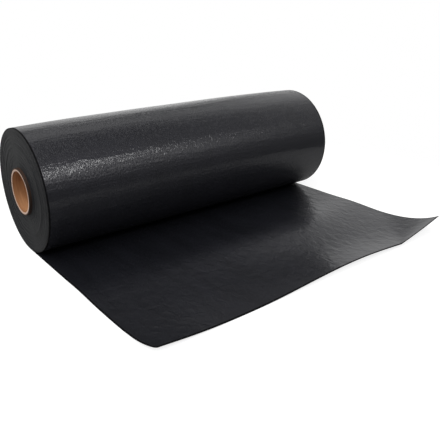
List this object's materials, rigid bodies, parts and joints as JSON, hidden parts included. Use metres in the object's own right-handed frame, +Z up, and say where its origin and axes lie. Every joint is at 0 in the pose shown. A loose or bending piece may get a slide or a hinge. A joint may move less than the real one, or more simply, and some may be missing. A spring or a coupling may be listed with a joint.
{
  "type": "damp proof course roll",
  "caption": "Roll of black embossed plastic damp proof membrane on a cardboard core, lying on its side with its free end drawn out flat along the floor.",
  "frame": {"origin": "on the axis of the core, half way along the roll", "axes": "+X along the roll, -Y the way the free end is drawn out, +Z up"},
  "size_m": [0.457, 0.359, 0.152],
  "materials": {
    "membrane": "black polyethylene sheet, semi-matt, with a fine crinkled emboss",
    "core_board": "spiral-wound brown board, plain, with a pale cut edge"
  },
  "bodies": {
    "root": {"membrane": "membrane", "core_tube": "core_board"}
  },
  "joints": []
}
